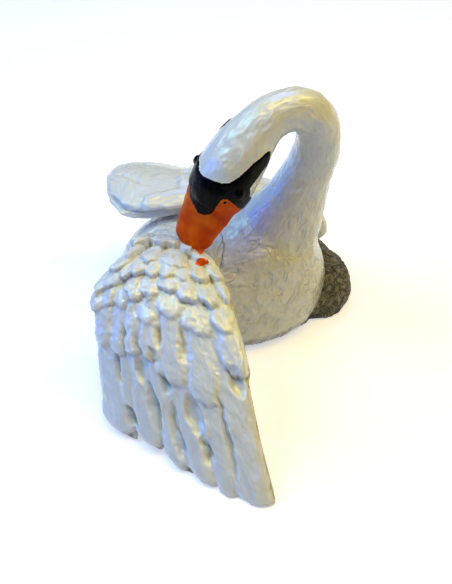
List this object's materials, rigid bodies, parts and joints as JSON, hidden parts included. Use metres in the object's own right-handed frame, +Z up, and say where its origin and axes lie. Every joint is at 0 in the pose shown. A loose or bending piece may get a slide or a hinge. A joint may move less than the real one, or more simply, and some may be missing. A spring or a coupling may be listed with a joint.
{
  "type": "swan figurine",
  "caption": "Cast and painted figurine of a resting swan that preens one spread wing, on a rock plinth, for display on a flat surface",
  "frame": {"origin": "On the table, in the middle of the plinth's flat underside", "axes": "+X points to the swan's breast, -Y to its right side and the spread wing, +Z up"},
  "size_m": [0.1027, 0.1421, 0.1033],
  "materials": {
    "swan": "pearly white paint with a soft gloss, an orange bill, a black mask and a grey-green rock"
  },
  "bodies": {
    "root": {"swan": "swan"}
  },
  "joints": []
}
